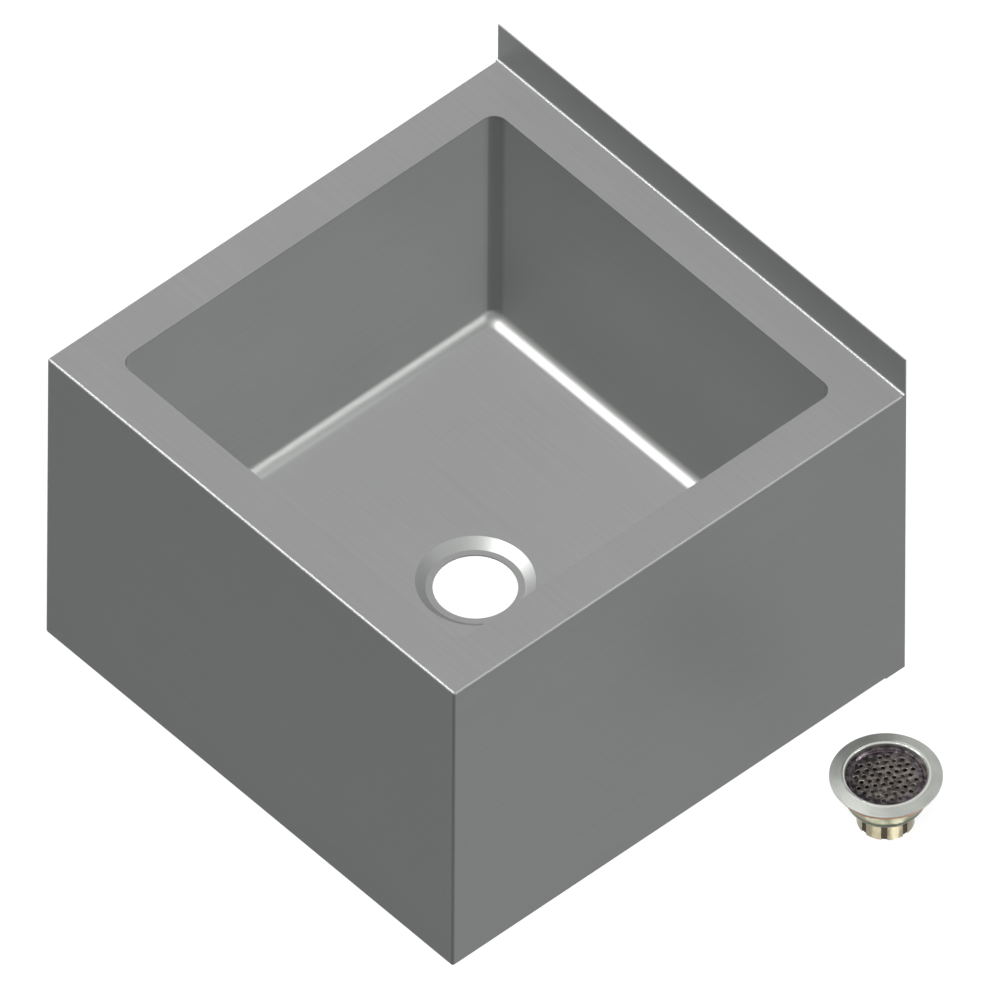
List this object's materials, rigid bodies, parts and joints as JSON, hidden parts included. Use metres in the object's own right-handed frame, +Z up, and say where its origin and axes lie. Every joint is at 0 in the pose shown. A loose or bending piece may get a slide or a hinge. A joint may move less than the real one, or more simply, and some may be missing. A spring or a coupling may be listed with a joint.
{
  "type": "mop service sink",
  "caption": "Floor-mounted square stainless mop sink with a rear splash and coved bowl, and its loose basket drain fitting standing beside it.",
  "frame": {"origin": "on the floor, straight under the centre of the bowl and of its drain hole", "axes": "+Z up, +Y towards the wall and the splash, -Y the front, +X the sink's right side"},
  "size_m": [0.8068, 0.6096, 0.4572],
  "materials": {
    "rim_steel": "satin",
    "apron_steel": "satin",
    "bowl_steel": "satin",
    "sound_pad": "matt",
    "flange_steel": "satin",
    "strainer_plate": "dark polished",
    "gasket_rubber": "smooth",
    "fibre_ring": "matt",
    "locknut_chrome": "polished",
    "cup_nickel": "polished nickel",
    "washer_rubber": "matt",
    "nut_brass": "satin, nickel-plated"
  },
  "bodies": {
    "sink": {"deck": "rim_steel", "apron": "apron_steel", "rear_panel": "apron_steel", "bowl_front_wall": "bowl_steel", "bowl_back_wall": "bowl_steel", "bowl_left_wall": "bowl_steel", "bowl_right_wall": "bowl_steel", "bowl_bottom": "bowl_steel", "sound_pad": "sound_pad"},
    "fitting": {"drain_flange": "flange_steel", "flange_gasket": "gasket_rubber", "friction_ring": "fibre_ring", "locknut": "locknut_chrome", "drain_cup": "cup_nickel", "outlet_washer": "washer_rubber", "coupling_nut": "nut_brass"},
    "strainer": {"strainer": "strainer_plate"}
  },
  "joints": [
    {"name": "fitting_lift", "type": "slide", "parent": "sink", "child": "fitting", "axis": [0, 0, 1], "range_m": [0, 0.3]},
    {"name": "strainer_lift", "type": "slide", "parent": "fitting", "child": "strainer", "axis": [0, 0, 1], "range_m": [0, 0.08]}
  ]
}
